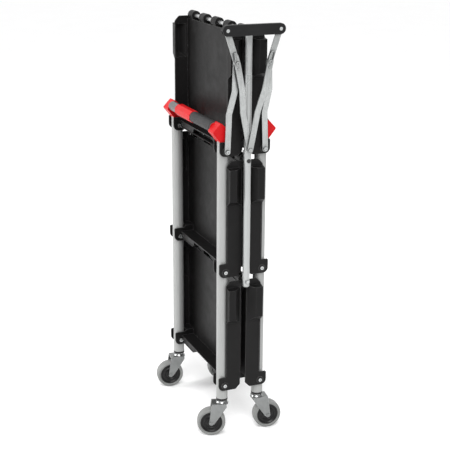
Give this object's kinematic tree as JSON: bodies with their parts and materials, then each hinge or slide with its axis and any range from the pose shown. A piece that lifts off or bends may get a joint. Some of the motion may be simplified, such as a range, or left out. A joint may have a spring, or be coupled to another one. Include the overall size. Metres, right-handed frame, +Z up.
{
  "type": "folding service cart",
  "caption": "Folding service cart, folded upright: two tubular leg frames joined by hinged tray halves, push bars, swivel casters, and a strut with scissor links.",
  "frame": {"origin": "on the floor, midway between the four folded legs", "axes": "+Z up along the legs; +Y towards the end away from the scissor links; +X from the left leg frame to the right one"},
  "size_m": [0.2322, 0.4295, 1.079],
  "materials": {
    "tray_black": "fine moulded texture",
    "steel_rod": "bright drawn rod",
    "zinc": "bright zinc plated strip, faint rolling lines",
    "leg_grey": "satin light grey powder coat",
    "red_plastic": "satin moulded nylon",
    "bolt_zinc": "bright plated, turned faces",
    "bolt_black": "black oxide",
    "ferrule_black": "smooth moulded",
    "chrome_plate": "bright chrome",
    "bar_grey": "satin mid grey",
    "grip_dark": "dull moulded rubber",
    "fork_satin": "satin zinc plated pressing",
    "tyre_grey": "non-marking grey rubber",
    "hub_black": "semi-gloss moulded",
    "crossbar_black": "black powder coat",
    "guide_nylon": "nylon"
  },
  "bodies": {
    "left_frame": {"left_near_leg": "leg_grey", "left_far_leg": "leg_grey", "left_near_corner": "red_plastic", "left_far_corner": "red_plastic", "left_pivot_bolts": "bolt_zinc", "left_ferrules": "ferrule_black", "left_caster_stems": "chrome_plate", "left_handle_bar": "bar_grey", "left_handle_grip": "grip_dark", "left_handle_band": "red_plastic"},
    "right_frame": {"right_near_leg": "leg_grey", "right_far_leg": "leg_grey", "right_near_corner": "red_plastic", "right_far_corner": "red_plastic", "right_pivot_bolts": "bolt_zinc", "right_ferrules": "ferrule_black", "right_caster_stems": "chrome_plate", "right_handle_bar": "bar_grey", "right_handle_grip": "grip_dark", "right_handle_band": "red_plastic"},
    "top_left_half": {"top_left_tray": "tray_black", "top_tray_catch": "zinc"},
    "top_right_half": {"top_right_tray": "tray_black"},
    "middle_left_half": {"middle_left_tray": "tray_black", "middle_hinge_rod": "steel_rod"},
    "middle_right_half": {"middle_right_tray": "tray_black"},
    "bottom_left_half": {"bottom_left_tray": "tray_black", "bottom_hinge_rod": "steel_rod"},
    "bottom_right_half": {"bottom_right_tray": "tray_black"},
    "strut_assembly": {"strut": "zinc", "strut_bolts": "bolt_black", "strut_studs": "bolt_zinc", "crossbar": "crossbar_black", "top_hinge_rod": "steel_rod"},
    "strut_guide": {"guide_pin": "guide_nylon"},
    "left_upper_arm": {"left_upper_link": "zinc", "left_knee_rivet": "zinc"},
    "left_inner_arm": {"left_inner_link": "zinc"},
    "left_outer_arm": {"left_outer_link": "zinc"},
    "left_near_caster": {"left_near_caster_fork": "fork_satin", "left_near_caster_axle": "fork_satin"},
    "left_near_wheel": {"left_near_caster_tyre": "tyre_grey", "left_near_caster_hub": "hub_black"},
    "left_far_caster": {"left_far_caster_fork": "fork_satin", "left_far_caster_axle": "fork_satin"},
    "left_far_wheel": {"left_far_caster_tyre": "tyre_grey", "left_far_caster_hub": "hub_black"},
    "right_upper_arm": {"right_upper_link": "zinc", "right_knee_rivet": "zinc"},
    "right_inner_arm": {"right_inner_link": "zinc"},
    "right_outer_arm": {"right_outer_link": "zinc"},
    "right_near_caster": {"right_near_caster_fork": "fork_satin", "right_near_caster_axle": "fork_satin"},
    "right_near_wheel": {"right_near_caster_tyre": "tyre_grey", "right_near_caster_hub": "hub_black"},
    "right_far_caster": {"right_far_caster_fork": "fork_satin", "right_far_caster_axle": "fork_satin"},
    "right_far_wheel": {"right_far_caster_tyre": "tyre_grey", "right_far_caster_hub": "hub_black"}
  },
  "joints": [
    {"name": "fold", "type": "hinge", "parent": "left_frame", "child": "top_left_half", "pos_m": [-0.05, 0, 0.771], "axis": [0, 1, 0], "range_deg": [0, 90]},
    {"name": "top_centre_hinge", "type": "hinge", "parent": "top_left_half", "child": "top_right_half", "pos_m": [0, 0, 1.06], "axis": [0, 1, 0], "range_deg": [-180.5, 0]},
    {"name": "right_frame_pivot", "type": "hinge", "parent": "top_right_half", "child": "right_frame", "pos_m": [0.05, 0, 0.771], "axis": [0, 1, 0], "range_deg": [0, 90.5]},
    {"name": "strut_pivot", "type": "hinge", "parent": "top_left_half", "child": "strut_assembly", "pos_m": [0, 0, 1.06], "axis": [0, 1, 0], "range_deg": [-90.5, 0]},
    {"name": "middle_left_pivot", "type": "hinge", "parent": "left_frame", "child": "middle_left_half", "pos_m": [-0.05, 0, 0.4585], "axis": [0, 1, 0], "range_deg": [0, 90.5]},
    {"name": "middle_centre_hinge", "type": "hinge", "parent": "middle_left_half", "child": "middle_right_half", "pos_m": [0, 0, 0.7475], "axis": [0, 1, 0], "range_deg": [-180.5, 0]},
    {"name": "bottom_left_pivot", "type": "hinge", "parent": "left_frame", "child": "bottom_left_half", "pos_m": [-0.05, 0, 0.146], "axis": [0, 1, 0], "range_deg": [0, 90.5]},
    {"name": "bottom_centre_hinge", "type": "hinge", "parent": "bottom_left_half", "child": "bottom_right_half", "pos_m": [0, 0, 0.435], "axis": [0, 1, 0], "range_deg": [-180.5, 0]},
    {"name": "guide_slide", "type": "slide", "parent": "strut_assembly", "child": "strut_guide", "axis": [0, 0, 1], "range_m": [0, 0.0262]},
    {"name": "left_upper_link_pivot", "type": "hinge", "parent": "strut_assembly", "child": "left_upper_arm", "pos_m": [-0.0675, 0, 1.066], "axis": [0, 1, 0], "range_deg": [0, 45.2]},
    {"name": "left_knee_pivot", "type": "hinge", "parent": "left_upper_arm", "child": "left_inner_arm", "pos_m": [-0.0422, 0, 0.99], "axis": [0, 1, 0], "range_deg": [-62.23, 0]},
    {"name": "left_outer_link_pivot", "type": "hinge", "parent": "left_frame", "child": "left_outer_arm", "pos_m": [-0.05, 0, 0.771], "axis": [0, 1, 0], "range_deg": [0, 120.37]},
    {"name": "right_upper_link_pivot", "type": "hinge", "parent": "strut_assembly", "child": "right_upper_arm", "pos_m": [0.0675, 0, 1.066], "axis": [0, 1, 0], "range_deg": [-45.2, 0]},
    {"name": "right_knee_pivot", "type": "hinge", "parent": "right_upper_arm", "child": "right_inner_arm", "pos_m": [0.0422, 0, 0.99], "axis": [0, 1, 0], "range_deg": [0, 62.23]},
    {"name": "right_outer_link_pivot", "type": "hinge", "parent": "right_frame", "child": "right_outer_arm", "pos_m": [0.05, 0, 0.771], "axis": [0, 1, 0], "range_deg": [-120.37, 0]},
    {"name": "left_near_swivel", "type": "hinge", "parent": "left_frame", "child": "left_near_caster", "pos_m": [-0.05, -0.161, 0.088], "axis": [0, 0, 1], "continuous": true},
    {"name": "left_near_wheel_spin", "type": "hinge", "parent": "left_near_caster", "child": "left_near_wheel", "pos_m": [-0.07648, -0.15188, 0.0375], "axis": [-0.3256, -0.9455, 0], "continuous": true},
    {"name": "left_far_swivel", "type": "hinge", "parent": "left_frame", "child": "left_far_caster", "pos_m": [-0.05, 0.161, 0.088], "axis": [0, 0, 1], "continuous": true},
    {"name": "left_far_wheel_spin", "type": "hinge", "parent": "left_far_caster", "child": "left_far_wheel", "pos_m": [-0.07776, 0.16465, 0.0375], "axis": [-0.1305, -0.9914, 0], "continuous": true},
    {"name": "right_near_swivel", "type": "hinge", "parent": "right_frame", "child": "right_near_caster", "pos_m": [0.05, -0.161, 0.088], "axis": [0, 0, 1], "continuous": true},
    {"name": "right_near_wheel_spin", "type": "hinge", "parent": "right_near_caster", "child": "right_near_wheel", "pos_m": [0.07782, -0.16417, 0.0375], "axis": [0.1132, 0.9936, 0], "continuous": true},
    {"name": "right_far_swivel", "type": "hinge", "parent": "right_frame", "child": "right_far_caster", "pos_m": [0.05, 0.161, 0.088], "axis": [0, 0, 1], "continuous": true},
    {"name": "right_far_wheel_spin", "type": "hinge", "parent": "right_far_caster", "child": "right_far_wheel", "pos_m": [0.07782, 0.15783, 0.0375], "axis": [0.1132, 0.9936, 0], "continuous": true}
  ],
  "couplings": [
    {"joint": "top_centre_hinge", "follows": "fold", "ratio": -2},
    {"joint": "right_frame_pivot", "follows": "fold", "ratio": 1},
    {"joint": "strut_pivot", "follows": "fold", "ratio": -1},
    {"joint": "middle_left_pivot", "follows": "fold", "ratio": 1},
    {"joint": "middle_centre_hinge", "follows": "fold", "ratio": -2},
    {"joint": "bottom_left_pivot", "follows": "fold", "ratio": 1},
    {"joint": "bottom_centre_hinge", "follows": "fold", "ratio": -2},
    {"joint": "guide_slide", "follows": "fold", "m_per_rad": 0.016505},
    {"joint": "left_upper_link_pivot", "follows": "fold", "ratio": 0.49661},
    {"joint": "left_knee_pivot", "follows": "fold", "ratio": -0.68594},
    {"joint": "left_outer_link_pivot", "follows": "fold", "ratio": 1.3318},
    {"joint": "right_upper_link_pivot", "follows": "fold", "ratio": -0.49661},
    {"joint": "right_knee_pivot", "follows": "fold", "ratio": 0.68594},
    {"joint": "right_outer_link_pivot", "follows": "fold", "ratio": -1.3318}
  ]
}
